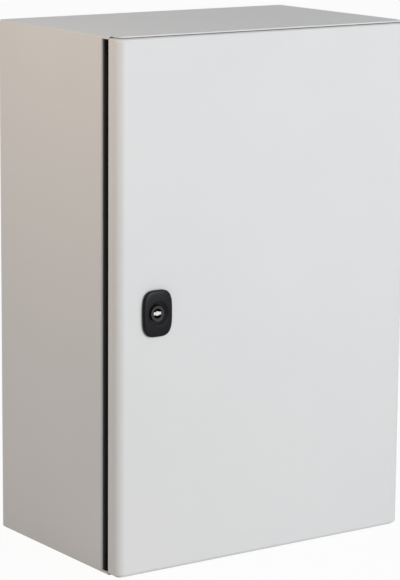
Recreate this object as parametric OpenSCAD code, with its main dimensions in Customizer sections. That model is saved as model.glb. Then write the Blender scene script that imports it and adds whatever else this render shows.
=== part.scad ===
// Steel wall enclosure: a folded and welded cabinet, a hinged door and a quarter-turn latch.
// Millimetres, +Z up, the door faces -Y. The origin is the centre of the four wall fixings, on
// the back face. A depth is always measured forwards from that back face, towards the door.

/* [Cabinet] */
// Overall width
body_w = 400; // [330:1:600]
// Overall height
body_h = 600; // [480:1:900]
// Overall depth, up to the face of the door
body_d = 250; // [200:1:350]
// Thickness of the steel sheet of cabinet and door
sheet = 1.5; // [1.2:0.05:1.8]
// Inside radius of the folds
fold_r = 1; // [0.8:0.1:1.5]

/* [Front rim] */
// From the side of the cabinet to the lip that meets the door seal
rim_inset = 22.5; // [22:0.5:27]
// Outside corner radius of the lip
lip_corner_r = 7; // [5.5:0.5:12]
// Shadow gap between the front rim and the edge of the door
shadow_gap = 14.2; // [12:0.1:17]
// How far the roof and floor ledges stop short of the face of the door
ledge_setback = 5; // [4:0.5:6]
// Straight part of the ledges' folded sides, below the fold
ledge_side = 1.1; // [0.9:0.1:2]
// Thickness of the black seal strip in the rim channel
rim_seal_t = 3; // [2:0.5:4]

/* [Door] */
// Depth of the edges folded back from the face
door_return = 19.3; // [17:0.1:23]
// Outside radius of the door's upright edges
door_edge_r = 10; // [8:0.5:12]
// Gap between the roof ledge and the door
door_gap_top = 0.7; // [0.5:0.1:1]
// Gap between the floor ledge and the door
door_gap_bottom = 0.5; // [0.4:0.1:1]
// Width of the foamed door seal
gasket_w = 8; // [7:0.5:9]
// Height of the foamed door seal, pressed
gasket_h = 8; // [6:0.5:9.5]
// From the side of the door to the outer edge of each perforated rail
rail_inset = 70; // [69:1:84]
// Width of a rail's flanges
rail_w = 14; // [12:0.5:18]
// How far a rail stands off the inside of the door
rail_depth = 17; // [14:0.5:20]
// Pitch of the rail perforations
rail_pitch = 25; // [20:1:30]

/* [Hinges] */
// From the side of the cabinet to the hinge axis
hinge_inset = 6; // [5.8:0.1:7]
// From the end of the cabinet to the middle of each hinge
hinge_from_end = 100; // [80:1:140]
// Pin radius
pin_r = 2; // [1.6:0.1:2.3]
// Thickness of the hinge leaves
leaf_t = 2; // [1.6:0.1:2.1]
// Height of the hinge leaves
leaf_h = 60; // [56:1:80]
// Length of each of the bracket's two eyes
eye_len = 11; // [8:0.5:13]
// Angle that the door opens to
door_open = 120; // [90:5:120]

/* [Latch] */
// From the side of the door to the lock's axis
lock_inset = 50; // [44:0.5:54]
// Drop of the lock's axis below mid height
lock_drop = 4; // [0:1:40]
// Width of the escutcheon
escutcheon_w = 38; // [32:1:46]
// Height of the escutcheon
escutcheon_h = 52.5; // [44:0.5:64]
// How far the escutcheon stands off its gasket
escutcheon_t = 4; // [3.5:0.1:5]
// Radius of the threaded neck
neck_r = 10; // [9.4:0.1:12]
// Length of the neck behind the escutcheon
neck_len = 18; // [15:0.5:21]
// Radius of the turning insert
insert_r = 7.42; // [6.2:0.02:8]
// Length of the cam from the lock's axis to its tip
cam_len = 38; // [36:0.5:46]
// Width of the cam
cam_w = 16; // [14:0.5:19]

/* [Mounting plate] */
// Margin between the cabinet and the mounting plate on every side
plate_margin = 30; // [28:1:40]
// Thickness of the mounting plate
plate_t = 2; // [1.5:0.1:3]
// Stand-off of the plate from the inside of the back
plate_standoff = 10.5; // [8:0.5:20]
// From the plate's edges to its stud holes
plate_stud_inset = 20; // [16:1:30]

/* [Wall fixing] */
// From the sides and ends of the cabinet to the wall-fixing holes
wall_hole_inset = 25; // [20:1:30]
// Radius of the wall-fixing holes
wall_hole_r = 4.25; // [3.5:0.25:5.5]

/* [Gland plate] */
// Width of the cable opening in the floor
gland_open_w = 240; // [160:1:290]
// Depth of the cable opening in the floor
gland_open_d = 110; // [80:1:132]
// Overlap of the gland plate on the floor, all round
gland_margin = 15; // [12.5:0.5:18]

/* [Hidden] */
$fn = 64;
cut = 1;                       // overrun of every cutting tool past the face that it opens

// finishes
light_grey = "#D3D4D3";
zinc_plated = "#B4B7B8";
galvanised = "#A9AEB1";
black_rubber = "#1C1C1E";
black_polyamide = "#141519";
bright_zinc = "#C9CACC";
black_zinc = "#1F2023";

// clearances
run_gap = 0.05;                // radial, pin in its eye
rotor_gap = 0.08;              // radial, insert in its housing
thread_gap = 0.05;             // radial, screw or stud in its thread
bolt_gap = 0.3;                // radial, screw or stud in a clearance hole
eye_gap = 0.2;                 // axial, between the eyes of a hinge
soft_gap = 0.3;                // rim lip to the face of the door seal
swing_gap = 0.5;               // round what the opening door sweeps past
cam_gap = 1;                   // turned cam to the back of the rim
hinge_setback = 0.7;           // hinge axis to the back of the door's return
eye_start = 9;                 // middle of a hinge to the bracket's eyes

// depths from the back face
fold_out = fold_r + sheet;
return_y = body_d - door_return;
flange_y = return_y - shadow_gap;
wall_y = flange_y - fold_out;
panel_y = body_d - sheet;
lip_y = panel_y - gasket_h - soft_gap;
hinge_y = return_y - hinge_setback;
ledge_y = body_d - ledge_setback;
gland_y = (flange_y - sheet) / 2;
gland_front = gland_y + gland_open_d / 2 + gland_margin;

// widths and heights from the centre
half_w = body_w / 2;
half_h = body_h / 2;
lip_w = half_w - rim_inset;
lip_h = half_h - rim_inset;
door_top = half_h - sheet - door_gap_top;
door_bottom = -half_h + sheet + door_gap_bottom;
ledge_side_h = fold_out + ledge_side;
hinge_x = half_w - hinge_inset;
hinge_z = half_h - hinge_from_end;
eye_r = pin_r + leaf_t;
eye_end = eye_start + eye_len;
leg_x = hinge_x - eye_r;
lock_x = -half_w + lock_inset;
lock_z = -lock_drop;

// The ledges' folded sides close the shadow gap on the lock side. On the hinge side they end
// short of the door's side, which has turned in behind the hinge axis when the door is open
free_side_y = return_y - door_gap_top;
hinge_side_y = hinge_y - (hinge_inset * (1 - cos(door_open)) + swing_gap) / sin(door_open);

// ------------------------------------------------------------------ shared shapes

// Extrudes an outline drawn in (x, z) from one depth to another
module between(near, far) {
    translate([0, -near, 0])
        rotate([90, 0, 0])
            linear_extrude(far - near)
                children();
}

// Extrudes a section drawn in (x, depth) upwards, centred on a height
module upright(height, z = 0) {
    translate([0, 0, z - height / 2])
        linear_extrude(height)
            mirror([0, 1, 0])
                children();
}

module rounded_rect(w, h, r) {
    square([w - 2 * r, h], center = true);
    square([w, h - 2 * r], center = true);
    for (x = [-1, 1], y = [-1, 1])
        translate([x * (w / 2 - r), y * (h / 2 - r)])
            circle(r);
}

// Section of a fold: a quarter of a ring in the +x +y quadrant
module quarter_ring(r_in, r_out) {
    intersection() {
        difference() {
            circle(r_out);
            circle(r_in);
        }
        square(r_out + cut);
    }
}

// Carries a section drawn in (outwards, depth) round a rounded rectangle of the given half sizes
module round_frame(w, h, corner_r) {
    for (side = [0, 180])
        rotate([0, side, 0]) {
            frame_side(w, 2 * (h - corner_r)) children();
            rotate([0, -90, 0])
                frame_side(h, 2 * (w - corner_r)) children();
        }
    for (x = [0, 1], z = [0, 1])
        mirror([x, 0, 0])
            mirror([0, 0, z])
                translate([w - corner_r, 0, h - corner_r])
                    rotate([90, 0, 0])
                        rotate_extrude(angle = 90)
                            translate([corner_r, 0])
                                children();
}

module frame_side(distance, length) {
    translate([distance, 0, 0])
        upright(length) children();
}

module hex_prism(across_flats, height) {
    cylinder(r = across_flats / sqrt(3), h = height, $fn = 6);
}

// Nut with its threaded bore, standing on z = 0
module hex_nut(across_flats, height, bore_r) {
    difference() {
        hex_prism(across_flats, height);
        translate([0, 0, -cut])
            cylinder(r = bore_r, h = height + 2 * cut);
    }
}

module flat_washer(outer_r, bore_r, thickness) {
    difference() {
        cylinder(r = outer_r, h = thickness);
        translate([0, 0, -cut])
            cylinder(r = bore_r, h = thickness + 2 * cut);
    }
}

// Points a piece made along +Z forwards, with its foot at a depth
module facing_front(x, y, z) {
    translate([x, -y, z])
        rotate([90, 0, 0])
            children();
}

// Points a piece made along +Z backwards, with its foot at a depth
module facing_back(x, y, z) {
    translate([x, -y, z])
        rotate([-90, 0, 0])
            children();
}

// ------------------------------------------------------------------ cabinet

// Block with rounded back and long edges, from one depth to another
module pan(w, h, back, front, r) {
    between(back + r, front) rounded_rect(w, h, r);
    between(back, front) square([w - 2 * r, h - 2 * r], center = true);
    for (x = [-1, 1])
        translate([x * (w / 2 - r), -back - r, 0])
            cylinder(r = r, h = h - 2 * r, center = true);
    for (z = [-1, 1])
        translate([0, -back - r, z * (h / 2 - r)])
            rotate([0, 90, 0])
                cylinder(r = r, h = w - 2 * r, center = true);
    for (x = [-1, 1], z = [-1, 1])
        translate([x * (w / 2 - r), -back - r, z * (h / 2 - r)])
            sphere(r);
}

// Back, sides, roof and floor. The sides are cut back to the rim, and only the corner folds run on
module mantle() {
    difference() {
        pan(body_w, body_h, 0, free_side_y, fold_out);
        pan(body_w - 2 * sheet, body_h - 2 * sheet, sheet, free_side_y + cut, fold_r);
        between(wall_y, free_side_y + cut)
            square([body_w + 2 * cut, body_h - 2 * ledge_side_h], center = true);
        translate([half_w - fold_out, -free_side_y - cut, -half_h - cut])
            cube([fold_out + cut, free_side_y - hinge_side_y + cut, body_h + 2 * cut]);
    }
}

// Roof and floor sheets that run on over and under the door, with corners that follow its edges
module ledges() {
    length = ledge_y - wall_y + 2 * door_edge_r;
    for (z = [-1, 1])
        translate([0, -ledge_y + length / 2, z * (half_h - sheet / 2)])
            linear_extrude(sheet, center = true)
                rounded_rect(body_w - 2 * ledge_setback, length, door_edge_r - ledge_setback);
}

// Double-profile rim: fold, flange turned inwards, then a lip turned forwards to the door seal
module front_rim() {
    for (x = [0, 1])
        mirror([x, 0, 0])
            upright(body_h - 2 * ledge_side_h)
                translate([half_w - fold_out, wall_y])
                    quarter_ring(fold_r, fold_out);
    between(flange_y - sheet, flange_y)
        difference() {
            union() {
                square([body_w - 2 * fold_out, body_h - 2 * sheet], center = true);
                for (z = [-1, 1])
                    translate([0, z * (half_h - (sheet + ledge_side_h) / 2)])
                        square([body_w - 2 * sheet, ledge_side_h - sheet], center = true);
            }
            rounded_rect(2 * (lip_w + fold_r), 2 * (lip_h + fold_r), lip_corner_r + fold_r);
        }
    round_frame(lip_w, lip_h, lip_corner_r) {
        translate([-sheet, flange_y + fold_r])
            square([sheet, lip_y - flange_y - fold_r]);
        translate([fold_r, flange_y + fold_r])
            rotate(180)
                quarter_ring(fold_r, fold_out);
    }
}

module wall_holes() {
    for (x = [-1, 1], z = [-1, 1])
        translate([x * (half_w - wall_hole_inset), z * (half_h - wall_hole_inset)])
            circle(wall_hole_r);
}

module body_shell() {
    color(light_grey)
        difference() {
            union() {
                mantle();
                ledges();
                front_rim();
            }
            between(-cut, sheet + cut) wall_holes();
            translate([0, -gland_y, -half_h - cut])
                linear_extrude(sheet + 2 * cut)
                    rounded_rect(gland_open_w, gland_open_d, gland_corner_r);
            between(flange_y - sheet - cut, flange_y + cut)
                bracket_screw_places() circle(screw_r + thread_gap);
        }
}

// Black strip on the floor of the rim channel, cut away round the hinge brackets
module rim_seal() {
    color(black_rubber)
        between(flange_y, flange_y + rim_seal_t)
            difference() {
                square([body_w - 2 * fold_out, body_h - 2 * (sheet + soft_gap)], center = true);
                rounded_rect(2 * (lip_w + fold_r), 2 * (lip_h + fold_r), lip_corner_r + fold_r);
                for (z = [-1, 1])
                    translate([leaf_x - swing_gap, z * hinge_z - leaf_h / 2 - swing_gap])
                        square([leg_x + leaf_t - leaf_x + 2 * swing_gap, leaf_h + 2 * swing_gap]);
            }
}

// ------------------------------------------------------------------ mounting plate

plate_y = sheet + plate_standoff;
plate_w = body_w - 2 * plate_margin;
plate_h = body_h - 2 * plate_margin;
plate_corner = 15;             // corners taken off the plate, to reach the wall fixings
stud_r = 4;                    // M8
stud_flats = 13;
stud_nut_h = 6.5;
stud_over = 6;                 // length of stud past its nut
stud_chamfer = 1;
washer_t = 1.6;

module plate_stud_places() {
    for (x = [-1, 1], z = [-1, 1])
        translate([x * (plate_w / 2 - plate_stud_inset), 0, z * (plate_h / 2 - plate_stud_inset)])
            children();
}

module mounting_plate() {
    color(galvanised)
        difference() {
            between(plate_y, plate_y + plate_t)
                intersection() {
                    square([plate_w, plate_h], center = true);
                    rotate(45)
                        square((plate_w + plate_h - 2 * plate_corner) / sqrt(2), center = true);
                }
            plate_stud_places()
                facing_front(0, plate_y - cut, 0)
                    cylinder(r = stud_r + bolt_gap, h = plate_t + 2 * cut);
        }
}

// Studs welded to the back, each with a chamfered end
module plate_studs() {
    length = plate_standoff + plate_t + washer_t + stud_nut_h + stud_over;
    color(zinc_plated)
        plate_stud_places()
            facing_front(0, sheet, 0) {
                cylinder(r = stud_r, h = length - stud_chamfer);
                translate([0, 0, length - stud_chamfer])
                    cylinder(r1 = stud_r, r2 = stud_r - stud_chamfer, h = stud_chamfer);
            }
}

module plate_spacers() {
    color(zinc_plated)
        plate_stud_places()
            facing_front(0, sheet, 0)
                flat_washer(stud_r + 3, stud_r + thread_gap, plate_standoff);
}

module plate_washers() {
    color(zinc_plated)
        plate_stud_places()
            facing_front(0, plate_y + plate_t, 0)
                flat_washer(2 * stud_r, stud_r + bolt_gap, washer_t);
}

module plate_nuts() {
    color(zinc_plated)
        plate_stud_places()
            facing_front(0, plate_y + plate_t + washer_t, 0)
                hex_nut(stud_flats, stud_nut_h, stud_r + thread_gap);
}

// ------------------------------------------------------------------ gland plate

gland_corner_r = 5;
gland_gasket_t = 3;
gland_plate_t = 2;
gland_stud_r = 3;              // M6
gland_flats = 10;
gland_nut_h = 5;
gland_z = -half_h + sheet;

module gland_outline() {
    rounded_rect(gland_open_w + 2 * gland_margin, gland_open_d + 2 * gland_margin, gland_corner_r);
}

module gland_stud_places() {
    x_step = (gland_open_w + gland_margin) / 2;
    y_step = (gland_open_d + gland_margin) / 2;
    for (x = [-1, 0, 1], y = [-1, 1])
        translate([x * x_step, -gland_y + y * y_step, 0])
            children();
}

module gland_stud_holes() {
    gland_stud_places()
        translate([0, 0, gland_z - cut])
            cylinder(r = gland_stud_r + bolt_gap, h = gland_gasket_t + gland_plate_t + 2 * cut);
}

module gland_gasket() {
    color(black_rubber)
        difference() {
            translate([0, -gland_y, gland_z])
                linear_extrude(gland_gasket_t)
                    difference() {
                        gland_outline();
                        rounded_rect(gland_open_w, gland_open_d, gland_corner_r);
                    }
            gland_stud_holes();
        }
}

module gland_plate() {
    color(light_grey)
        difference() {
            translate([0, -gland_y, gland_z + gland_gasket_t])
                linear_extrude(gland_plate_t)
                    gland_outline();
            gland_stud_holes();
        }
}

module gland_studs() {
    color(zinc_plated)
        gland_stud_places()
            translate([0, 0, gland_z])
                cylinder(r = gland_stud_r, h = gland_gasket_t + gland_plate_t + gland_nut_h + 3);
}

// Flange nuts
module gland_nuts() {
    color(zinc_plated)
        gland_stud_places()
            translate([0, 0, gland_z + gland_gasket_t + gland_plate_t]) {
                flat_washer(2 * gland_stud_r, gland_stud_r + thread_gap, 1);
                translate([0, 0, 1])
                    hex_nut(gland_flats, gland_nut_h - 1, gland_stud_r + thread_gap);
            }
}

// ------------------------------------------------------------------ earthing

earth_stud_len = 20;
body_earth_inset = 35;         // from the left side, on the floor in front of the gland plate
door_earth = [110, 50];        // in from the hinge side, and up from the base, on the door

// Stud with a welding foot on z = 0
module earth_stud() {
    cylinder(r = gland_stud_r, h = earth_stud_len);
    cylinder(r = gland_stud_r + 1.5, h = 1);
}

// Flange nut run down on the stud
module earth_nut() {
    translate([0, 0, 5]) {
        flat_washer(2 * gland_stud_r, gland_stud_r + thread_gap, 1);
        translate([0, 0, 1])
            hex_nut(gland_flats, gland_nut_h - 1, gland_stud_r + thread_gap);
    }
}

module at_body_earth() {
    translate([-half_w + body_earth_inset, -(gland_front + flange_y - sheet) / 2, gland_z])
        children();
}

module at_door_earth() {
    facing_back(half_w - door_earth[0], panel_y, -half_h + door_earth[1])
        children();
}

module body_earth_stud() {
    color(bright_zinc) at_body_earth() earth_stud();
}

module body_earth_nut() {
    color(zinc_plated) at_body_earth() earth_nut();
}

module door_earth_stud() {
    color(bright_zinc) at_door_earth() earth_stud();
}

module door_earth_nut() {
    color(zinc_plated) at_door_earth() earth_nut();
}

// ------------------------------------------------------------------ hinges

screw_r = 2;                   // M4
screw_head_r = 4;
screw_head_h = 2.6;
screw_spread = 24;             // from the middle of a hinge to its screws
leaf_x = lip_w + fold_r + 2;   // inner edge of the bracket on the rim
bend_x = leg_x - fold_r;       // where the leaves start to fold
notch_depth = leaf_t + swing_gap;
notch_gap = 2;                 // past the eyes, at both ends of a notch
door_leaf_x = lip_w - sheet / 2 + gasket_w / 2 + 1;

module bracket_screw_places() {
    for (z = [-1, 1], s = [-1, 1])
        translate([(leaf_x + bend_x) / 2, z * hinge_z + s * screw_spread])
            children();
}

// Plain plate of a leaf, between two depths
module leaf_plate(x_start, back, z) {
    between(back, back + leaf_t)
        translate([(x_start + bend_x) / 2, z])
            rounded_rect(bend_x - x_start, leaf_h, 1.5);
}

// Leg and rolled eye, from a fold at fold_depth to the hinge axis. towards is 1 for a leg that
// runs forwards from the rim, and -1 for one that runs backwards from the door
module leg_section(fold_depth, towards) {
    translate([bend_x, fold_depth])
        mirror([0, towards == 1 ? 1 : 0])
            quarter_ring(fold_r, fold_r + leaf_t);
    translate([leg_x, min(fold_depth, hinge_y)])
        square([leaf_t, abs(hinge_y - fold_depth)]);
    translate([hinge_x, hinge_y])
        difference() {
            circle(eye_r);
            circle(pin_r + run_gap);
        }
}

// The eye's bore runs on through the leg, so the pin never meets it
module hinge_bracket(z) {
    color(zinc_plated) {
        difference() {
            leaf_plate(leaf_x, flange_y, z);
            between(flange_y - cut, flange_y + leaf_t + cut)
                bracket_screw_places() circle(screw_r + bolt_gap);
        }
        for (s = [-1, 1])
            upright(eye_len, z + s * (eye_end - eye_len / 2))
                leg_section(flange_y + leaf_t + fold_r, 1);
    }
}

module upper_hinge_bracket() hinge_bracket(hinge_z);
module lower_hinge_bracket() hinge_bracket(-hinge_z);

module hinge_leaf(z) {
    color(zinc_plated) {
        difference() {
            leaf_plate(door_leaf_x, panel_y - leaf_t, z);
            between(panel_y - leaf_t - cut, panel_y + cut)
                leaf_stud_places() circle(screw_r + bolt_gap);
        }
        upright(2 * (eye_start - eye_gap), z)
            leg_section(panel_y - leaf_t - fold_r, -1);
    }
}

module upper_hinge_leaf() hinge_leaf(hinge_z);
module lower_hinge_leaf() hinge_leaf(-hinge_z);

module leaf_stud_places() {
    for (z = [-1, 1], s = [-1, 1])
        translate([(door_leaf_x + bend_x) / 2, z * hinge_z + s * screw_spread])
            children();
}

// Headed pin, dropped in from above
module hinge_pin(z) {
    color(bright_zinc)
        translate([hinge_x, -hinge_y, z]) {
            translate([0, 0, -eye_end - 1])
                cylinder(r = pin_r, h = 2 * eye_end + 1);
            translate([0, 0, eye_end])
                cylinder(r1 = pin_r + 1.3, r2 = pin_r + 0.6, h = 1.4);
        }
}

module upper_hinge_pin() hinge_pin(hinge_z);
module lower_hinge_pin() hinge_pin(-hinge_z);

module hinge_bracket_screws() {
    head_y = flange_y + leaf_t;
    shank = leaf_t + sheet + 3;
    color(zinc_plated) {
        between(head_y - shank, head_y)
            bracket_screw_places() circle(screw_r);
        difference() {
            between(head_y, head_y + screw_head_h)
                bracket_screw_places() circle(screw_head_r);
            between(head_y + screw_head_h - 1.2, head_y + screw_head_h + cut)
                bracket_screw_places() square([1, 5.5], center = true);
            between(head_y + screw_head_h - 1.2, head_y + screw_head_h + cut)
                bracket_screw_places() square([5.5, 1], center = true);
        }
    }
}

leaf_nut_h = 3.2;
leaf_nut_flats = 7;

module hinge_leaf_studs() {
    length = leaf_t + leaf_nut_h + 2;
    color(zinc_plated)
        between(panel_y - length, panel_y)
            leaf_stud_places() circle(screw_r);
}

module hinge_leaf_nuts() {
    seat_y = panel_y - leaf_t;
    color(zinc_plated)
        between(seat_y - leaf_nut_h, seat_y)
            leaf_stud_places()
                difference() {
                    circle(leaf_nut_flats / sqrt(3), $fn = 6);
                    circle(screw_r + thread_gap);
                }
}

// ------------------------------------------------------------------ door

// Section of a door wall with its top and bottom folds, in (distance in from the outside, z)
module door_section(depth) {
    door_h = door_top - door_bottom;
    middle = (door_top + door_bottom) / 2;
    intersection() {
        translate([door_h / 2, middle])
            difference() {
                rounded_rect(door_h, door_h, fold_out);
                rounded_rect(door_h - 2 * sheet, door_h - 2 * sheet, fold_r);
            }
        translate([0, door_bottom - cut])
            square([depth, door_h + 2 * cut]);
    }
}

// Face, rounded upright edges and the returns behind them
module door_tray() {
    flat_w = body_w - 2 * door_edge_r;
    translate([-flat_w / 2, -body_d, 0])
        rotate([90, 0, 90])
            linear_extrude(flat_w)
                door_section(door_return);
    for (x = [0, 1])
        mirror([x, 0, 0]) {
            between(return_y, body_d - door_edge_r)
                translate([-half_w, 0])
                    door_section(door_edge_r);
            translate([-half_w + door_edge_r, -body_d + door_edge_r, 0])
                rotate([0, 0, 180])
                    rotate_extrude(angle = 90)
                        translate([door_edge_r, 0])
                            mirror([1, 0, 0])
                                door_section(door_edge_r);
        }
}

// The return behind the hinges is notched, so the brackets pass it when the door is open
module hinge_notches() {
    for (z = [-1, 1])
        translate([half_w - sheet - cut, -return_y - notch_depth, z * hinge_z - eye_end - notch_gap])
            cube([sheet + 2 * cut, notch_depth + cut, 2 * (eye_end + notch_gap)]);
}

module door_panel() {
    color(light_grey)
        difference() {
            door_tray();
            hinge_notches();
            between(panel_y - cut, body_d + cut)
                translate([lock_x, lock_z])
                    neck_outline(bolt_gap);
        }
}

module door_gasket() {
    bead_r = gasket_w / 2;
    color(black_rubber)
        round_frame(lip_w - sheet / 2, lip_h - sheet / 2, lip_corner_r - sheet / 2) {
            translate([-bead_r, panel_y - gasket_h + bead_r])
                square([gasket_w, gasket_h - bead_r]);
            translate([0, panel_y - gasket_h + bead_r])
                circle(bead_r);
        }
}

rail_hole_r = 2.25;
rail_end = 50;                 // from the end of the cabinet to the end of a rail

// C section of a rail, in (distance in from its outer edge, depth)
module rail_section() {
    near = panel_y - rail_depth;
    for (y = [0, 1])
        translate([0, (near + panel_y) / 2])
            mirror([0, y])
                translate([0, -(near + panel_y) / 2]) {
                    translate([fold_out, near])
                        square([rail_w - fold_out, sheet]);
                    translate([fold_out, near + fold_out])
                        rotate(180)
                            quarter_ring(fold_r, fold_out);
                }
    translate([0, near + fold_out])
        square([sheet, rail_depth - 2 * fold_out]);
}

// Perforated rail on the right half of the door; the left one is its mirror image
module door_rail() {
    length = body_h - 2 * rail_end;
    holes = floor((length - rail_pitch) / rail_pitch);
    near = panel_y - rail_depth;
    color(light_grey)
        translate([half_w - rail_inset, 0, 0])
            mirror([1, 0, 0])
                difference() {
                    upright(length) rail_section();
                    for (i = [0 : holes])
                        translate([0, 0, (i - holes / 2) * rail_pitch]) {
                            facing_front(fold_out + (rail_w - fold_out) / 2, near - cut, 0)
                                cylinder(r = rail_hole_r, h = sheet + 2 * cut);
                            translate([-cut, -(near + rail_depth / 2), 0])
                                rotate([0, 90, 0])
                                    cylinder(r = rail_hole_r, h = sheet + 2 * cut);
                        }
                }
}

module right_door_rail() door_rail();
module left_door_rail() mirror([1, 0, 0]) door_rail();

// ------------------------------------------------------------------ latch

lock_gasket_t = 0.8;
gasket_edge = 1;               // how far the lock gasket stays inside the escutcheon
neck_flat = 0.85;              // half distance across the neck's flats, as a share of its radius
lock_nut_flats = 2.7 * neck_r;
lock_nut_h = 6;
edge_round = 2;                // rounding of the escutcheon's edge
edge_steps = 4;
barrel_power = 3.4;
barrel_points = 96;
dish_floor_r = insert_r + 1.9; // bottom of the dish that the insert lies in
dish_mouth_r = dish_floor_r + 3.7;
dish_floor_t = 1;              // thickness left under the dish
insert_flange_t = 1;
insert_cup_r = 5.6;            // ring-shaped well that the key's barrel enters
insert_cup_d = 9;
insert_screw_d = 12;           // depth of the cam screw's thread in the insert
post_r = 2.5;
post_sunk = 0.5;               // from the front of the insert back to the post
post_seat = 4;                 // length of the post's spigot in the insert
post_seat_r = 2;
key_bar = [9.6, 3.2];          // the two bars of the post, across and thick
square_side = 8;
square_len = 2.8;              // a little less than the cam's thickness, so the washer clamps it
cam_t = 3;
cam_washer_r = 8;
cam_washer_t = 1.2;
cam_screw_r = 3;               // M6
cam_screw_head_h = 4;
escutcheon_y = body_d + lock_gasket_t;
insert_front = escutcheon_y + dish_floor_t + insert_flange_t;
cam_hub_y = flange_y + 5;      // depth of the shoulder that the cam's hub sits on
cam_tip_y = flange_y - sheet - cam_gap;

// Neck with two flats that stop it turning in the door, grown by a gap
module neck_outline(gap) {
    intersection() {
        circle(neck_r + gap);
        square([2 * (neck_flat * neck_r + gap), 3 * neck_r], center = true);
    }
}

// Barrel outline with bulging sides: a superellipse, |x/a|^n + |z/b|^n = 1
function bulge(v) = sign(v) * pow(abs(v), 2 / barrel_power);
function barrel_outline(w, h) =
    [for (i = [0 : barrel_points - 1])
        let (t = 360 * i / barrel_points)
            [w / 2 * bulge(cos(t)), h / 2 * bulge(sin(t))]];

module lock_gasket() {
    color(black_rubber)
        between(body_d, escutcheon_y)
            translate([lock_x, lock_z])
                difference() {
                    polygon(barrel_outline(escutcheon_w - 2 * gasket_edge, escutcheon_h - 2 * gasket_edge));
                    circle(neck_r + bolt_gap);
                }
}

// Escutcheon with a rounded edge and a dish, and the neck behind it
module lock_housing() {
    dish_d = escutcheon_t - dish_floor_t;
    flare = (dish_mouth_r - dish_floor_r) / dish_d;
    color(black_polyamide)
        difference() {
            union() {
                facing_front(lock_x, escutcheon_y, lock_z)
                    rounded_barrel();
                between(escutcheon_y - neck_len, escutcheon_y)
                    translate([lock_x, lock_z])
                        neck_outline(0);
            }
            facing_front(lock_x, escutcheon_y + dish_floor_t, lock_z)
                cylinder(r1 = dish_floor_r, r2 = dish_mouth_r + flare * cut, h = dish_d + cut);
            facing_front(lock_x, escutcheon_y - neck_len - cut, lock_z)
                cylinder(r = insert_r + rotor_gap, h = neck_len + escutcheon_t + cut);
        }
}

// The edge turns through a quarter circle: each ring is smaller by the cosine, higher by the sine
module rounded_barrel() {
    angles = [for (step = [0 : edge_steps]) 90 * step / edge_steps];
    insets = concat([0], [for (angle = angles) edge_round * (1 - cos(angle))]);
    heights = concat([0], [for (angle = angles) escutcheon_t - edge_round * (1 - sin(angle))]);
    n = barrel_points;
    last = len(insets) - 1;
    points = [for (ring = [0 : last])
                for (p = barrel_outline(escutcheon_w - 2 * insets[ring], escutcheon_h - 2 * insets[ring]))
                    [p[0], p[1], heights[ring]]];
    walls = [for (ring = [0 : last - 1])
                for (i = [0 : n - 1])
                    let (near = ring * n, far = near + n, j = (i + 1) % n)
                        each [[near + i, far + i, far + j], [near + i, far + j, near + j]]];
    back = [for (i = [0 : n - 1]) i];
    front = [for (i = [n - 1 : -1 : 0]) last * n + i];
    polyhedron(points, concat([back], walls, [front]));
}

module lock_nut() {
    color(bright_zinc)
        facing_back(lock_x, panel_y, lock_z)
            hex_nut(lock_nut_flats, lock_nut_h, neck_r + thread_gap);
}

// Turning insert: flange, barrel with a round well in front, and a square for the cam
module lock_insert() {
    barrel_len = insert_front - insert_flange_t - cam_hub_y;
    well_floor = barrel_len + insert_flange_t - insert_cup_d;
    color(black_zinc)
        facing_front(lock_x, cam_hub_y, lock_z)
            difference() {
                union() {
                    cylinder(r = insert_r, h = barrel_len);
                    translate([0, 0, barrel_len])
                        cylinder(r = insert_r + 1, h = insert_flange_t);
                    translate([0, 0, -square_len / 2])
                        cube([square_side, square_side, square_len], center = true);
                }
                translate([0, 0, well_floor])
                    cylinder(r = insert_cup_r, h = insert_cup_d + cut);
                translate([0, 0, well_floor - post_seat])
                    cylinder(r = post_seat_r + thread_gap, h = post_seat + cut);
                translate([0, 0, -cam_t - cut])
                    cylinder(r = cam_screw_r + thread_gap, h = cam_t + cut + insert_screw_d);
            }
}

// Double-bar post that the key turns, with a spigot pressed into the insert
module key_post() {
    post_len = insert_cup_d - post_sunk;
    color(bright_zinc)
        facing_front(lock_x, insert_front - insert_cup_d, lock_z) {
            translate([0, 0, -post_seat])
                cylinder(r = post_seat_r, h = post_seat);
            cylinder(r = post_r, h = post_len);
            translate([0, 0, post_len / 2])
                cube([key_bar[0], key_bar[1], post_len], center = true);
        }
}

// Cranked cam, drawn pointing down. Its side view is the strip, and its plan rounds both ends
module lock_cam() {
    bend_start = 12;
    bend_end = 20;
    hub_r = cam_w / 2 + cut;
    color(zinc_plated)
        difference() {
            intersection() {
                translate([lock_x - cam_w / 2 - cut, 0, lock_z])
                    rotate([90, 0, 90])
                        linear_extrude(cam_w + 2 * cut)
                            polygon([[-cam_hub_y, hub_r], [-cam_hub_y, -bend_start],
                                     [-cam_tip_y, -bend_end], [-cam_tip_y, -cam_len],
                                     [-cam_tip_y + cam_t, -cam_len], [-cam_tip_y + cam_t, -bend_end - 1],
                                     [-cam_hub_y + cam_t, -bend_start - 1], [-cam_hub_y + cam_t, hub_r]]);
                between(cam_tip_y - 2 * cam_t, cam_hub_y + cut)
                    translate([lock_x, lock_z]) {
                        circle(cam_w / 2);
                        translate([0, cam_w / 2 - cam_len]) circle(cam_w / 2);
                        translate([-cam_w / 2, cam_w / 2 - cam_len])
                            square([cam_w, cam_len - cam_w / 2]);
                    }
            }
            facing_front(lock_x, cam_hub_y - cam_t / 2, lock_z)
                cube([square_side + 0.1, square_side + 0.1, 3 * cam_t], center = true);
        }
}

module cam_washer() {
    color(zinc_plated)
        facing_back(lock_x, cam_hub_y - cam_t, lock_z)
            flat_washer(cam_washer_r, cam_screw_r + bolt_gap, cam_washer_t);
}

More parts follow.
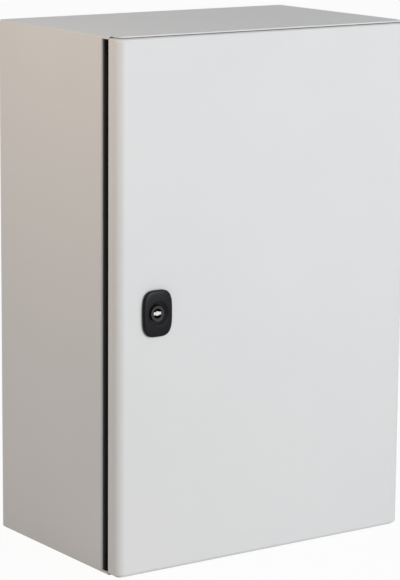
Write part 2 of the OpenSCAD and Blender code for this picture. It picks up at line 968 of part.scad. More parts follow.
module cam_screw() {
    seat = cam_hub_y - cam_t - cam_washer_t;
    color(zinc_plated) {
        facing_back(lock_x, seat, lock_z)
            hex_prism(gland_flats, cam_screw_head_h);
        facing_front(lock_x, seat, lock_z)
            cylinder(r = cam_screw_r, h = cam_washer_t + cam_t + 8);
    }
}

body_shell();
rim_seal();
mounting_plate();
plate_studs();
plate_spacers();
plate_washers();
plate_nuts();
gland_gasket();
gland_plate();
gland_studs();
gland_nuts();
body_earth_stud();
body_earth_nut();
upper_hinge_bracket();
lower_hinge_bracket();
hinge_bracket_screws();
upper_hinge_pin();
lower_hinge_pin();
door_panel();
door_gasket();
left_door_rail();
right_door_rail();
upper_hinge_leaf();
lower_hinge_leaf();
hinge_leaf_studs();
hinge_leaf_nuts();
door_earth_stud();
door_earth_nut();
lock_housing();
lock_gasket();
lock_nut();
lock_insert();
key_post();
lock_cam();
cam_washer();
cam_screw();
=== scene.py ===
# Steel wall enclosure: a folded cabinet, a hinged door and a quarter-turn latch, standing in a pale
# studio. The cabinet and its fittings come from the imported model. This script adds their finishes,
# the soft seals, the threads and the shaped front of the lock. Metres, +Z up, the door faces -Y.
import math

import bpy
import numpy as np
from mathutils import Euler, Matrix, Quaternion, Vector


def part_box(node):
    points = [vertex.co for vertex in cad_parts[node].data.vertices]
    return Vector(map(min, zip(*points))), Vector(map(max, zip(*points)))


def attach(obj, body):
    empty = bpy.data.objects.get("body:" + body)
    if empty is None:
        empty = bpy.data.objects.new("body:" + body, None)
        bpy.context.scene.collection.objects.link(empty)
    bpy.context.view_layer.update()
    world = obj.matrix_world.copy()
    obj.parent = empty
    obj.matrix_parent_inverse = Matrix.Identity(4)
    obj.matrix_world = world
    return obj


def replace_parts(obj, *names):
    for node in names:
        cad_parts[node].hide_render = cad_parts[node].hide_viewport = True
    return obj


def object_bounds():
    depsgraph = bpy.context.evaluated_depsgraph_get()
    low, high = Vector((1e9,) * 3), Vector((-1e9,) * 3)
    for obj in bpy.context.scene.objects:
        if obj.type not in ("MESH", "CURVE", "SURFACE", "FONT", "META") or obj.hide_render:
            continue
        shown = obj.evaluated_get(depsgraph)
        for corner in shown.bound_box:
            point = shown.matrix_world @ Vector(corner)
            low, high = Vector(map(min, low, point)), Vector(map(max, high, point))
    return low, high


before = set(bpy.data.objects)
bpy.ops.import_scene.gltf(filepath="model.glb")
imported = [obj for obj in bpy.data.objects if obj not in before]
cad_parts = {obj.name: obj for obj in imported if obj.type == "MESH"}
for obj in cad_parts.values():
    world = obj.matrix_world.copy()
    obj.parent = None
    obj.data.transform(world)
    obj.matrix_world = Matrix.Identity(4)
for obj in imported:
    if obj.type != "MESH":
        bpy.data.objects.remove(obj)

cad_low, cad_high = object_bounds()

# ---------------------------------------------------------------- camera
# A long lens, to the left of the door and a little above it, that looks down on the roof.

camera_place = (-1.671, -2.507, 0.562)
camera_yaw = math.radians(34.98)       # turned to the right of straight ahead
camera_pitch = math.radians(11.22)     # tipped down
camera_roll = math.radians(0.47)

camera_data = bpy.data.cameras.new("camera")
camera_data.lens = 157.6
camera_data.clip_end = 60
camera = bpy.data.objects.new("camera", camera_data)
bpy.context.scene.collection.objects.link(camera)
camera.rotation_mode = "QUATERNION"
camera.location = camera_place
camera.rotation_quaternion = (Euler((math.pi / 2 - camera_pitch, 0, -camera_yaw)).to_quaternion()
                              @ Quaternion((0, 0, 1), camera_roll))
bpy.context.scene.camera = camera

# ---------------------------------------------------------------- studio
# A white sweep with soft light from all round, a large lamp before the door and a weak warm one
# high on the left. The floor shows white and keeps a faint shadow.


def linear(code):
    """The linear colour of an sRGB hex code: c / 12.92 up to 0.04045, else ((c + 0.055) / 1.055) ** 2.4."""
    c = np.array([int(code[i:i + 2], 16) / 255 for i in (1, 3, 5)])
    c = np.where(c <= 0.04045, c / 12.92, ((c + 0.055) / 1.055) ** 2.4)
    return (*c.tolist(), 1.0)


def add_node(tree, kind, inputs=None, **settings):
    """Adds a node with its settings. Each input is named, and is a value or another node's output."""
    made = tree.nodes.new(kind)
    for name, value in settings.items():
        setattr(made, name, value)
    for name, value in (inputs or {}).items():
        if isinstance(value, bpy.types.NodeSocket):
            tree.links.new(value, made.inputs[name])
        else:
            made.inputs[name].default_value = value
    return made


ambient_colour = linear("#D9DBDF")
floor_z = cad_low[2]
floor_half = 45
floor_glow = 0.95                      # share of the floor that shows plain white
floor_mirrored = 0.55                  # and of what metal and gloss reflect of it

world = bpy.data.worlds.new("studio")
world.use_nodes = True
world.node_tree.nodes.clear()
sky = world.node_tree
seen = add_node(sky, "ShaderNodeLightPath")
seen_or_mirrored = add_node(sky, "ShaderNodeMath", {0: seen.outputs["Is Camera Ray"],
                                                    1: seen.outputs["Is Glossy Ray"]},
                            operation="MAXIMUM")
shown_white = add_node(sky, "ShaderNodeMath", {0: seen_or_mirrored.outputs[0],
                                               1: seen.outputs["Is Transmission Ray"]},
                       operation="MAXIMUM")
soft_light = add_node(sky, "ShaderNodeBackground", {"Color": ambient_colour, "Strength": 0.54})
white_card = add_node(sky, "ShaderNodeBackground", {"Color": (1, 1, 1, 1), "Strength": 1.0})
either = add_node(sky, "ShaderNodeMixShader", {0: shown_white.outputs[0], 1: soft_light.outputs[0],
                                               2: white_card.outputs[0]})
add_node(sky, "ShaderNodeOutputWorld", {"Surface": either.outputs[0]})
bpy.context.scene.world = world

floor_mesh = bpy.data.meshes.new("floor")
floor_mesh.from_pydata([(-floor_half, -floor_half, floor_z), (floor_half, -floor_half, floor_z),
                        (floor_half, floor_half, floor_z), (-floor_half, floor_half,
                                                            floor_z)], [], [(0, 1, 2, 3)])
floor = bpy.data.objects.new("floor", floor_mesh)
bpy.context.scene.collection.objects.link(floor)

paper = bpy.data.materials.new("white_paper_floor")
paper.use_nodes = True
paper.node_tree.nodes.clear()
sweep = paper.node_tree
seen = add_node(sweep, "ShaderNodeLightPath")
mirrored = add_node(sweep, "ShaderNodeMath", {0: seen.outputs["Is Glossy Ray"],
                                              1: seen.outputs["Is Transmission Ray"]},
                    operation="MAXIMUM")
from_camera = add_node(sweep, "ShaderNodeMath", {0: seen.outputs["Is Camera Ray"], 1: floor_glow},
                       operation="MULTIPLY")
from_gloss = add_node(sweep, "ShaderNodeMath", {0: mirrored.outputs[0], 1: floor_mirrored},
                      operation="MULTIPLY")
glow_share = add_node(sweep, "ShaderNodeMath", {0: from_camera.outputs[0], 1: from_gloss.outputs[0]},
                      operation="MAXIMUM")
matt = add_node(sweep, "ShaderNodeBsdfDiffuse", {"Color": linear("#EDECEA")})
glow = add_node(sweep, "ShaderNodeEmission", {"Color": (1, 1, 1, 1), "Strength": 1.0})
either = add_node(sweep, "ShaderNodeMixShader", {0: glow_share.outputs[0], 1: matt.outputs[0],
                                                 2: glow.outputs[0]})
add_node(sweep, "ShaderNodeOutputMaterial", {"Surface": either.outputs[0]})
floor_mesh.materials.append(paper)

# Each lamp: name, place, the point it faces, size, power in watts and colour.
for name, place, aim, size, power, colour in (
        ("front_lamp", (0.9, -3.2, 0.5), (0.0, -0.25, 0.0), 1.6, 60, "#FFFFFF"),
        ("left_lamp", (-0.85, -0.12, 0.52), (-0.2, -0.12, 0.2), 0.4, 2.4, "#FFE3C4")):
    lamp_data = bpy.data.lights.new(name, "AREA")
    lamp_data.size = size
    lamp_data.energy = power
    lamp_data.color = linear(colour)[:3]
    lamp = bpy.data.objects.new(name, lamp_data)
    bpy.context.scene.collection.objects.link(lamp)
    lamp.location = place
    away = np.subtract(place, aim)
    lamp.rotation_euler = (math.atan2(math.hypot(away[0], away[1]), away[2]), 0,
                           math.atan2(away[1], away[0]) + math.pi / 2)

bpy.context.scene.view_settings.view_transform = "Standard"

# ---------------------------------------------------------------- cabinet
# One shell of 1.5 mm steel sheet, folded and welded, with a double-profile rim round its mouth, and
# the gland plate in its floor. All of it is degreased and powder coated light grey, baked on.


def finish(material, *names):
    """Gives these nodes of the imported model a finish."""
    for name in names:
        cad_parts[name].material_slots[0].material = material


def new_finish(name):
    """An empty material, its tree, and the object's own coordinates to place patterns by."""
    made = bpy.data.materials.new(name)
    made.use_nodes = True
    made.node_tree.nodes.clear()
    place = add_node(made.node_tree, "ShaderNodeTexCoord")
    return made, made.node_tree, place.outputs["Object"]


def per_metre(size_mm):
    """The scale of a pattern whose grains are this far apart: 1000 mm over the grain."""
    return 1000 / size_mm


powder_grain_mm = 1.3                  # really 0.4 mm: drawn coarser so that it shows
powder_cloud_mm = 130                  # slow changes of the coat's thickness
sheet_wave_mm = 210                    # faint waves of the rolled sheet

# Polyester powder, fine textured: a close orange-peel grain that spreads the gloss to a soft sheen.
powder_coat, coat, place = new_finish("powder_coated_steel")
clouds = add_node(coat, "ShaderNodeTexNoise", {"Vector": place, "Scale": per_metre(powder_cloud_mm),
                                               "Detail": 3.0})
shade = add_node(coat, "ShaderNodeMix", {0: clouds.outputs[0], 6: linear("#D3D4D5"),
                                         7: linear("#D7D8D8")}, data_type="RGBA")
grain = add_node(coat, "ShaderNodeTexNoise", {"Vector": place, "Scale": per_metre(powder_grain_mm),
                                              "Detail": 2.0})
gloss = add_node(coat, "ShaderNodeMapRange", {"Value": grain.outputs[0], "From Min": 0.3, "From Max": 0.7,
                                              "To Min": 0.44, "To Max": 0.54})
waves = add_node(coat, "ShaderNodeTexNoise", {"Vector": place, "Scale": per_metre(sheet_wave_mm),
                                              "Detail": 0.0})
waved = add_node(coat, "ShaderNodeBump", {"Height": waves.outputs[0], "Strength": 1.0, "Distance": 0.0006})
rough = add_node(coat, "ShaderNodeBump", {"Height": grain.outputs[0], "Strength": 0.5, "Distance": 0.00008,
                                          "Normal": waved.outputs[0]})
skin = add_node(coat, "ShaderNodeBsdfPrincipled", {"Base Color": shade.outputs[2],
                                                   "Roughness": gloss.outputs[0],
                                                   "Normal": rough.outputs[0], "IOR": 1.5})
add_node(coat, "ShaderNodeOutputMaterial", {"Surface": skin.outputs[0]})
finish(powder_coat, "body_shell", "gland_plate", "door_panel", "left_door_rail", "right_door_rail")

# ---------------------------------------------------------------- rim strip
# Black rubber strip, 3 mm thick with three low ribs, glued in lengths to the rim behind the door.
# It is cut short at the hinge brackets. Its black is partly the rubber's own colour and partly painted shade
# for the deep gap between the cabinet's side and the door.


def grid_piece(name, points, body, material, wrap=(False, False), caps=False):
    """One object from point grids shaped (loops, points round, 3), each joined in rows and columns.
    wrap closes each direction, and caps closes the first and last row with a face of its own."""
    vertices, faces, start = [], [], 0
    for grid in points:
        m, n = grid.shape[:2]
        i, j = np.meshgrid(np.arange(m if wrap[0] else m - 1), np.arange(n if wrap[1] else n - 1),
                           indexing="ij")
        near, far = j, (j + 1) % n
        quads = np.stack([i * n + near, i * n + far, (i + 1) % m * n + far, (i + 1) % m * n + near], -1)
        vertices.append(grid.reshape(-1, 3))
        faces += (quads.reshape(-1, 4) + start).tolist()
        if caps:
            faces += [(start + np.arange(n)[::-1]).tolist(), (start + (m - 1) * n + np.arange(n)).tolist()]
        start += m * n
    mesh = bpy.data.meshes.new(name)
    mesh.from_pydata(np.concatenate(vertices).tolist(), [], faces)
    mesh.validate()
    mesh.polygons.foreach_set("use_smooth", np.array([len(f) == 4 for f in faces]))
    mesh.materials.append(material)
    made = bpy.data.objects.new(name, mesh)
    bpy.context.scene.collection.objects.link(made)
    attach(made, body)
    return made


# Extruded EPDM rubber: nearly black, matt, with a faint bloom and fine lines from the die.
rubber, tree, place = new_finish("black_epdm_rubber")
bloom = add_node(tree, "ShaderNodeTexNoise", {"Vector": place, "Scale": per_metre(22), "Detail": 4.0})
shade = add_node(tree, "ShaderNodeMix", {0: bloom.outputs[0], 6: linear("#161617"),
                                         7: linear("#242526")}, data_type="RGBA")
pores = add_node(tree, "ShaderNodeTexNoise", {"Vector": place, "Scale": per_metre(0.7), "Detail": 2.0})
dull = add_node(tree, "ShaderNodeBump", {"Height": pores.outputs[0], "Strength": 0.4, "Distance": 0.0001})
skin = add_node(tree, "ShaderNodeBsdfPrincipled", {"Base Color": shade.outputs[2], "Roughness": 0.72,
                                                   "Normal": dull.outputs[0], "Specular IOR Level": 0.35})
add_node(tree, "ShaderNodeOutputMaterial", {"Surface": skin.outputs[0]})

seal_high = np.array(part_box("rim_seal")[1])
bead_low, bead_high = (np.array(corner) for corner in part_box("door_gasket"))
bead_half = 0.004                      # the door's foam bead is centred on the rim's lip
lip_clear = 0.0033                     # from the bead's centre line out to the rubber
rim_inner = bead_high[0] - bead_half + lip_clear
rim_inner_z = bead_high[2] - bead_half + lip_clear
hinge_clear_low, hinge_clear_high = 0.1695, 0.2305


def ribbed_strip(start, end, low, high, along):
    """A strip from start to end whose cross section is the same all along: a back, two rounded
    edges and a front with three ribs, height = 2.6 mm + 0.4 mm * max(0, cos(3 turns across)) ** 0.5."""
    across = np.linspace(0, 1, 61)
    width = high - low
    edge = np.minimum(across, 1 - across) * width
    rise = np.where(edge < 0.001, np.sqrt(np.clip(0.001 ** 2 - (0.001 - edge) ** 2, 0, None)), 0.001) - 0.001
    crown = 0.0026 + 0.0004 * np.sqrt(np.clip(np.cos(2 * np.pi * 3 * (across - 0.5)), 0, 1)) + rise
    side = np.concatenate([low + across * width, [high, low]])
    front = np.concatenate([seal_high[1] - crown, [seal_high[1], seal_high[1]]])
    rows = []
    for t in (start, start + 0.0004, end - 0.0004, end):
        one = np.zeros((len(side), 3))
        one[:, 1] = front
        one[:, 0 if along == "z" else 2] = side
        one[:, 2 if along == "z" else 0] = t
        rows.append(one)
    strip = np.array(rows)
    return strip if along == "z" else strip[:, ::-1]


x_out, z_out = seal_high[0], seal_high[2]
right = [(-rim_inner_z, -hinge_clear_high), (-hinge_clear_low, hinge_clear_low),
         (hinge_clear_high, rim_inner_z)]
strips = [ribbed_strip(a, b, rim_inner, x_out, "z") for a, b in right]
strips.append(ribbed_strip(-rim_inner_z, rim_inner_z, -x_out, -rim_inner, "z"))
strips.append(ribbed_strip(-x_out, x_out, rim_inner_z, z_out, "x"))
strips.append(ribbed_strip(-x_out, x_out, -z_out, -rim_inner_z, "x"))
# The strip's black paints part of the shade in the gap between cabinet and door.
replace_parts(grid_piece("rim_strip_and_gap_shade", strips, "cabinet", rubber,
                       wrap=(False, True), caps=True),
            "rim_seal")

# ---------------------------------------------------------------- mounting plate
# A flat 2 mm plate of hot-dip galvanised steel, left bare for rails and gear to be screwed to.

spangle_mm = 11                        # zinc crystals on modern skin-passed sheet are small and dull
galvanised, tree, place = new_finish("hot_dip_galvanised_steel")
crystals = add_node(tree, "ShaderNodeTexVoronoi", {"Vector": place, "Scale": per_metre(spangle_mm)})
crystal = add_node(tree, "ShaderNodeSeparateColor", {0: crystals.outputs["Color"]})
shade = add_node(tree, "ShaderNodeMix", {0: crystal.outputs[0], 6: linear("#B3B7BA"),
                                         7: linear("#C0C4C6")}, data_type="RGBA")
gloss = add_node(tree, "ShaderNodeMapRange", {"Value": crystal.outputs[1], "To Min": 0.40, "To Max": 0.48})
frost = add_node(tree, "ShaderNodeTexNoise", {"Vector": place, "Scale": per_metre(1.5), "Detail": 3.0})
dull = add_node(tree, "ShaderNodeBump", {"Height": frost.outputs[0], "Strength": 0.35, "Distance": 0.00008})
skin = add_node(tree, "ShaderNodeBsdfPrincipled", {"Base Color": shade.outputs[2],
                                                   "Roughness": gloss.outputs[0],
                                                   "Metallic": 1.0, "Normal": dull.outputs[0]})
add_node(tree, "ShaderNodeOutputMaterial", {"Surface": skin.outputs[0]})
finish(galvanised, "mounting_plate")

# ---------------------------------------------------------------- plate fixings
# Four M8 studs welded to the back, a turned spacer on each, the plate, then washer and nut, all
# electroplated with bright zinc.

zinc, tree, place = new_finish("bright_zinc_plate")
cloud = add_node(tree, "ShaderNodeTexNoise", {"Vector": place, "Scale": per_metre(9), "Detail": 3.0})
shade = add_node(tree, "ShaderNodeMix", {0: cloud.outputs[0], 6: linear("#B9BCC0"),
                                         7: linear("#D2D4D6")}, data_type="RGBA")
gloss = add_node(tree, "ShaderNodeMapRange", {"Value": cloud.outputs[0], "From Min": 0.3, "From Max": 0.7,
                                              "To Min": 0.24, "To Max": 0.36})
scuffs = add_node(tree, "ShaderNodeTexNoise", {"Vector": place, "Scale": per_metre(0.9), "Detail": 2.0})
dull = add_node(tree, "ShaderNodeBump", {"Height": scuffs.outputs[0], "Strength": 0.3, "Distance": 0.00004})
skin = add_node(tree, "ShaderNodeBsdfPrincipled", {"Base Color": shade.outputs[2],
                                                   "Roughness": gloss.outputs[0],
                                                   "Metallic": 1.0, "Normal": dull.outputs[0]})
add_node(tree, "ShaderNodeOutputMaterial", {"Surface": skin.outputs[0]})
finish(zinc, "plate_spacers", "plate_washers", "plate_nuts", "gland_nuts", "body_earth_nut",
       "door_earth_nut",
       "upper_hinge_bracket", "lower_hinge_bracket", "hinge_bracket_screws", "upper_hinge_leaf",
       "lower_hinge_leaf", "hinge_leaf_studs", "hinge_leaf_nuts", "lock_cam", "cam_washer", "cam_screw")


def threaded_stud(foot, along, length, radius, pitch, plain=0.0, flange=None):
    """A closed rod from foot along a unit direction. Its radius follows a triangle wave on a helix,
    r = R - 0.6 pitch * |2 frac(height / pitch - turn) - 1|, past a plain length, with a chamfered tip."""
    along = np.array(along, float)
    side = np.cross(along, [1.0, 0.0, 0.0])
    up = np.cross(along, side)
    turn = np.linspace(0, 1, 25)[:-1]
    height = np.linspace(0, length, int(length / pitch * 8) + 2)
    h, t = np.meshgrid(height, turn, indexing="ij")
    depth = 0.6 * pitch * np.abs(2 * ((h / pitch - t) % 1) - 1)
    r = radius - depth * np.clip((h - plain) / pitch, 0, 1)
    r = np.minimum(r, radius - 0.8 * pitch + (length - h))
    if flange:
        foot_rings = np.array([0.0, flange[0], flange[1]])
        h = np.concatenate([np.repeat(foot_rings[:, None], len(turn), 1), np.maximum(h, flange[1] + 1e-5)])
        r = np.concatenate([np.repeat(np.array([flange[2], flange[2], flange[2] - 0.0003])[:, None],
                                      len(turn), 1), r])
        t = np.concatenate([np.repeat(turn[None], 3, 0), t])
    h = np.concatenate([h[:1], h, h[-1:]])
    r = np.concatenate([r[:1] * 0 + 1e-5, r, r[-1:] * 0 + 1e-5])
    t = np.concatenate([t[:1], t, t[-1:]])
    angle = 2 * np.pi * t[..., None]
    return np.array(foot) + h[..., None] * along + r[..., None] * (np.cos(angle) * side + np.sin(angle) * up)


stud_low, stud_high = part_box("plate_studs")
stud_x, stud_z = stud_high[0] - 0.004, stud_high[2] - 0.004
rods = [threaded_stud((x, stud_high[1], z), (0, -1, 0), stud_high[1] - stud_low[1], 0.004, 0.00125,
                      plain=0.006)
        for x in (-stud_x, stud_x) for z in (-stud_z, stud_z)]
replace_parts(grid_piece("threaded_plate_studs", rods, "cabinet", zinc, wrap=(False, True),
                       caps=True),
            "plate_studs")

# ---------------------------------------------------------------- gland plate fixings
# The gland plate lies on a gasket of closed-cell rubber over the floor's opening, and six M6
# weld studs with nuts press it down.

gland_low, gland_high = (np.array(corner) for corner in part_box("gland_gasket"))
gland_border = 0.015                   # width of the gasket all round


def rounded_outline(half_x, half_y, radius, points=16):
    """A rectangle with round corners, anticlockwise: each is a quarter circle about its own centre."""
    quarter = np.linspace(0, np.pi / 2, points)
    turns = [quarter + k * np.pi / 2 for k in range(4)]
    centres = [(1, 1), (-1, 1), (-1, -1), (1, -1)]
    return np.concatenate([np.stack([cx * (half_x - radius) + radius * np.cos(a),
                                     cy * (half_y - radius) + radius * np.sin(a)], -1)
                           for a, (cx, cy) in zip(turns, centres)])


def flat_ring(outer, inner, low, high, bulge, steps=7):
    """A flat gasket between two outlines of as many points each. Both of its edges bulge by half a
    sine wave over the thickness, and its two flat sides join them."""
    rise = np.linspace(0, 1, steps)
    swell = bulge * np.sin(np.pi * rise)
    middle = (outer + inner) / 2
    out_dir = (outer - middle) / np.linalg.norm(outer - middle, axis=1, keepdims=True)
    rings = [np.concatenate([outer + out_dir * s, np.full((len(outer), 1), low + (high - low) * t)], 1)
             for t, s in zip(rise, swell)]
    rings += [np.concatenate([inner - out_dir * s, np.full((len(outer), 1), low + (high - low) * t)], 1)
              for t, s in zip(rise[::-1], swell[::-1])]
    return np.array(rings)


half_x, half_y = (gland_high[0] - gland_low[0]) / 2, (gland_high[1] - gland_low[1]) / 2
ring = flat_ring(rounded_outline(half_x - 0.0003, half_y - 0.0003, 0.005),
                 rounded_outline(half_x - gland_border + 0.0003, half_y - gland_border + 0.0003, 0.005),
                 gland_low[2], gland_high[2], 0.0003)
ring[..., 0] += (gland_high[0] + gland_low[0]) / 2
ring[..., 1] += (gland_high[1] + gland_low[1]) / 2
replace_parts(grid_piece("rubber_gland_gasket", [ring[:, ::-1]], "cabinet", rubber,
                       wrap=(True, True)),
            "gland_gasket")

stud_low, stud_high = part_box("gland_studs")
rods = [threaded_stud((x, y, stud_low[2]), (0, 0, 1), stud_high[2] - stud_low[2], 0.003, 0.001, plain=0.004)
        for x in (stud_low[0] + 0.003, (stud_low[0] + stud_high[0]) / 2, stud_high[0] - 0.003)
        for y in (stud_low[1] + 0.003, stud_high[1] - 0.003)]
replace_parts(grid_piece("threaded_gland_studs", rods, "cabinet", zinc, wrap=(False, True),
                       caps=True),
            "gland_studs")

# ---------------------------------------------------------------- hinges
# Two concealed hinges: a bracket screwed to the rim, a leaf on studs inside the door, both pressed
# from zinc-plated steel, and a turned pin of nickel-plated steel through their eyes.

nickel, tree, place = new_finish("nickel_plate")
cloud = add_node(tree, "ShaderNodeTexNoise", {"Vector": place, "Scale": per_metre(4), "Detail": 3.0})
shade = add_node(tree, "ShaderNodeMix", {0: cloud.outputs[0], 6: linear("#C6C3BC"),
                                         7: linear("#D8D6D0")}, data_type="RGBA")
turned = add_node(tree, "ShaderNodeTexNoise", {"Vector": place, "Scale": per_metre(0.6), "Detail": 2.0})
gloss = add_node(tree, "ShaderNodeMapRange", {"Value": turned.outputs[0], "From Min": 0.3, "From Max": 0.7,
                                              "To Min": 0.17, "To Max": 0.27})
dull = add_node(tree, "ShaderNodeBump", {"Height": turned.outputs[0], "Strength": 0.25, "Distance": 0.00003})
skin = add_node(tree, "ShaderNodeBsdfPrincipled", {"Base Color": shade.outputs[2],
                                                   "Roughness": gloss.outputs[0],
                                                   "Metallic": 1.0, "Normal": dull.outputs[0]})
add_node(tree, "ShaderNodeOutputMaterial", {"Surface": skin.outputs[0]})
finish(nickel, "upper_hinge_pin", "lower_hinge_pin", "lock_nut", "key_post")

# ---------------------------------------------------------------- earthing studs
# One M6 weld stud in the cabinet and one in the door, nickel plated, each on a round foot.

for name, node, foot, along, body in (
        ("threaded_body_earth_stud", "body_earth_stud", 2, (0, 0, 1), "cabinet"),
        ("threaded_door_earth_stud", "door_earth_stud", 1, (0, 1, 0), "door")):
    stud_low, stud_high = (np.array(corner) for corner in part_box(node))
    base = (stud_low + stud_high) / 2
    base[foot] = stud_low[foot]
    rod = threaded_stud(base, along, stud_high[foot] - stud_low[foot], 0.003, 0.001,
                        flange=(0.0007, 0.001, 0.0045))
    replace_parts(grid_piece(name, [rod], body, nickel, wrap=(False, True), caps=True), node)

# ---------------------------------------------------------------- door seal
# Polyurethane foam, laid by machine as one bead round the back of the door, where it swells and
# sets with a smooth skin. The rim's lip has pressed a shallow line into its crown.

foam, tree, place = new_finish("foamed_in_place_polyurethane")
cells = add_node(tree, "ShaderNodeTexVoronoi", {"Vector": place, "Scale": per_metre(1.1)})
cloud = add_node(tree, "ShaderNodeTexNoise", {"Vector": place, "Scale": per_metre(30), "Detail": 3.0})
shade = add_node(tree, "ShaderNodeMix", {0: cloud.outputs[0], 6: linear("#2B2C2E"),
                                         7: linear("#37383A")}, data_type="RGBA")
dull = add_node(tree, "ShaderNodeBump", {"Height": cells.outputs["Distance"], "Strength": 0.35,
                                         "Distance": 0.0002})
skin = add_node(tree, "ShaderNodeBsdfPrincipled", {"Base Color": shade.outputs[2], "Roughness": 0.82,
                                                   "Normal": dull.outputs[0], "Specular IOR Level": 0.3})
add_node(tree, "ShaderNodeOutputMaterial", {"Surface": skin.outputs[0]})

bead_corner = 0.00625


def seal_bead():
    """A profile carried round a rounded rectangle: height = crown * (1 - |x| ** 2.4) ** 0.5, less
    a pressed line 0.5 mm deep at the middle, with the crown rising and falling 0.12 mm along it."""
    half_x, half_z = bead_high[0] - bead_half, bead_high[2] - bead_half
    corner = rounded_outline(half_x, half_z, bead_corner, 12)
    path = []
    for k in range(len(corner)):
        a, b = corner[k], corner[(k + 1) % len(corner)]
        steps = max(1, int(np.linalg.norm(b - a) / 0.008))
        path.append(a + (b - a) * (np.arange(steps) / steps)[:, None])
    path = np.concatenate(path)
    tangent = np.roll(path, -1, 0) - np.roll(path, 1, 0)
    tangent /= np.linalg.norm(tangent, axis=1, keepdims=True)
    out = np.stack([tangent[:, 1], -tangent[:, 0]], -1)
    distance = np.concatenate([[0], np.cumsum(np.linalg.norm(np.diff(path, axis=0), axis=1))])
    crown = 0.00776 + 0.00012 * np.sin(distance / 0.037) + 0.0001 * np.sin(distance / 0.0113 + 1)
    across = np.sin(np.linspace(-np.pi / 2, np.pi / 2, 33))
    dome = np.sqrt(np.clip(1 - np.abs(across) ** 2.4, 0, 1))
    pressed = 0.0005 * np.exp(-(across * bead_half / 0.0009) ** 2)
    rise = crown[:, None] * dome - pressed
    side = np.repeat(across[None] * bead_half, len(path), 0)
    points = np.zeros((len(path), len(across), 3))
    points[..., 0] = path[:, :1] + out[:, :1] * side
    points[..., 2] = path[:, 1:] + out[:, 1:] * side
    points[..., 1] = bead_low[1] + np.clip(rise, 0, None)
    return points


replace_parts(grid_piece("foam_door_seal", [seal_bead()], "door", foam, wrap=(True, True)),
            "door_gasket")

# ---------------------------------------------------------------- lock
# Quarter-turn lock: a barrel-shaped front of black polyamide moulded in one with its threaded neck,
# a thin rubber gasket under it, a nut inside the door, and a die-cast insert with a bright key post.

lock_low, lock_high = (np.array(corner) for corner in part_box("lock_housing"))
gasket_low, gasket_high = (np.array(corner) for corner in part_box("lock_gasket"))
lock_x = (lock_low[0] + lock_high[0]) / 2
lock_z = (lock_low[2] + lock_high[2]) / 2
barrel_power = 3.4                     # between an ellipse, 2, and a rectangle
neck_radius, neck_flat = 0.010, 0.85
bore_radius = 0.0075
dish_floor_radius, dish_mouth_radius = 0.00932, 0.01302
dish_floor_thickness = 0.001
edge_round = 0.0022
face_dome = 0.00025                    # how far the face rises from its edge to the dish
neck_pitch, neck_thread = 0.0015, 0.0008

# Glass-filled polyamide 6 from a polished mould: near black, with a soft gloss.
polyamide, tree, place = new_finish("black_moulded_polyamide")
flow = add_node(tree, "ShaderNodeTexNoise", {"Vector": place, "Scale": per_metre(7), "Detail": 2.0})
shade = add_node(tree, "ShaderNodeMix", {0: flow.outputs[0], 6: linear("#08090B"),
                                         7: linear("#101115")}, data_type="RGBA")
fibres = add_node(tree, "ShaderNodeTexNoise", {"Vector": place, "Scale": per_metre(0.5), "Detail": 2.0})
gloss = add_node(tree, "ShaderNodeMapRange", {"Value": fibres.outputs[0], "From Min": 0.3, "From Max": 0.7,
                                              "To Min": 0.2, "To Max": 0.3})
dull = add_node(tree, "ShaderNodeBump", {"Height": fibres.outputs[0], "Strength": 0.2, "Distance": 0.00003})
skin = add_node(tree, "ShaderNodeBsdfPrincipled", {"Base Color": shade.outputs[2],
                                                   "Roughness": gloss.outputs[0],
                                                   "Normal": dull.outputs[0], "IOR": 1.53,
                                                   "Specular IOR Level": 0.16})
add_node(tree, "ShaderNodeOutputMaterial", {"Surface": skin.outputs[0]})

turn = np.linspace(0, 2 * np.pi, 145)[:-1]


def barrel(half_w, half_h):
    """A superellipse: x = w * sign(cos) * |cos| ** (2 / power), and z the same with the sine."""
    power = 2 / barrel_power
    return np.stack([half_w * np.sign(np.cos(turn)) * np.abs(np.cos(turn)) ** power,
                     half_h * np.sign(np.sin(turn)) * np.abs(np.sin(turn)) ** power], -1)


def circle(radius):
    """A circle whose points turn with those of the barrel."""
    return radius * np.stack([np.cos(turn), np.sin(turn)], -1)


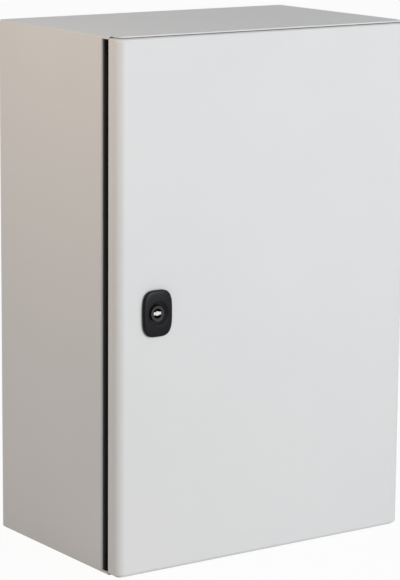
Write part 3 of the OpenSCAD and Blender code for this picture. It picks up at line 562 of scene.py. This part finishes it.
def lock_front():
    """A closed surface of rings: up the barrel's side, over its rounded edge and slightly domed
    face, down the dish and the bore, and back along the neck's thread to where it began."""
    half_w, half_h = (lock_high[0] - lock_low[0]) / 2, (lock_high[2] - lock_low[2]) / 2
    back, front, end = gasket_low[1], lock_low[1], lock_high[1]
    rings = [(circle(neck_radius - 0.0002), back), (barrel(half_w - 0.0004, half_h - 0.0004), back),
             (barrel(half_w, half_h), back - 0.0003)]
    for a in np.linspace(0, np.pi / 2, 9):
        inset = edge_round * (1 - np.cos(a))
        rings.append((barrel(half_w - inset, half_h - inset),
                      front + face_dome + edge_round * (1 - np.sin(a))))
    edge, mouth = barrel(half_w - edge_round, half_h - edge_round), circle(dish_mouth_radius + 0.0005)
    for s in np.linspace(0, 1, 9)[1:]:
        rings.append((edge + (mouth - edge) * s, front + face_dome * (1 - s) ** 2))
    floor_y = back - dish_floor_thickness
    for a in np.linspace(0.2, np.pi / 2, 5):
        rings.append((circle(dish_mouth_radius + 0.0005 * (1 - np.sin(a))),
                      front + 0.0006 * (1 - np.cos(a))))
    for s in np.linspace(0, 1, 8)[1:]:
        r = dish_mouth_radius + (dish_floor_radius - dish_mouth_radius) * s
        rings.append((circle(r), front + 0.0006 + (floor_y - front - 0.0006) * s))
    rings += [(circle(bore_radius + 0.0003), floor_y), (circle(bore_radius), floor_y + 0.0003),
              (circle(bore_radius), end - 0.0004),
              (circle(bore_radius + 0.0004), end)]
    neck_y = np.linspace(end, back, 120)
    for y in neck_y:
        height = (end - y) / neck_pitch
        depth = neck_thread * np.abs(2 * ((height - turn / (2 * np.pi)) % 1) - 1)
        r = np.minimum(neck_radius - depth, neck_radius - 0.0009 + (end - y))[:, None]
        section = r * np.stack([np.cos(turn), np.sin(turn)], -1)
        section[:, 0] = np.clip(section[:, 0], -neck_flat * neck_radius, neck_flat * neck_radius)
        rings.append((section, y))
    points = np.zeros((len(rings), len(turn), 3))
    for k, (outline, y) in enumerate(rings):
        points[k, :, 0], points[k, :, 2], points[k, :, 1] = lock_x + outline[:, 0], lock_z + outline[:, 1], y
    return points


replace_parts(grid_piece("lock_front", [lock_front()], "door", polyamide,
                       wrap=(True, True)),
            "lock_housing")

half_w, half_h = (gasket_high[0] - gasket_low[0]) / 2, (gasket_high[2] - gasket_low[2]) / 2
ring = flat_ring(barrel(half_w - 0.0002, half_h - 0.0002), circle(neck_radius + 0.0006), 0.0,
                 gasket_high[1] - gasket_low[1], 0.0002)
thin = np.stack([lock_x + ring[..., 0], gasket_low[1] + ring[..., 2], lock_z + ring[..., 1]], -1)
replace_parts(grid_piece("rubber_lock_gasket", [thin], "door", rubber, wrap=(True, True)),
            "lock_gasket")

# Zinc die casting, coloured dark: partly a dark finish and partly painted shade for the shadow in the lock's
# dish round the key post, with a satin metal sheen.
dark_zinc_and_shade, tree, place = new_finish("zinc_dark_finish_and_painted_shade")
cloud = add_node(tree, "ShaderNodeTexNoise", {"Vector": place, "Scale": per_metre(3), "Detail": 3.0})
shade = add_node(tree, "ShaderNodeMix", {0: cloud.outputs[0], 6: linear("#141517"),
                                         7: linear("#1E1F22")}, data_type="RGBA")
gloss = add_node(tree, "ShaderNodeMapRange", {"Value": cloud.outputs[0], "From Min": 0.3, "From Max": 0.7,
                                              "To Min": 0.32, "To Max": 0.44})
skin = add_node(tree, "ShaderNodeBsdfPrincipled", {"Base Color": shade.outputs[2],
                                                   "Roughness": gloss.outputs[0],
                                                   "Metallic": 0.4})
add_node(tree, "ShaderNodeOutputMaterial", {"Surface": skin.outputs[0]})
# The insert's dark colour paints part of the shadow round the key post.
finish(dark_zinc_and_shade, "lock_insert")
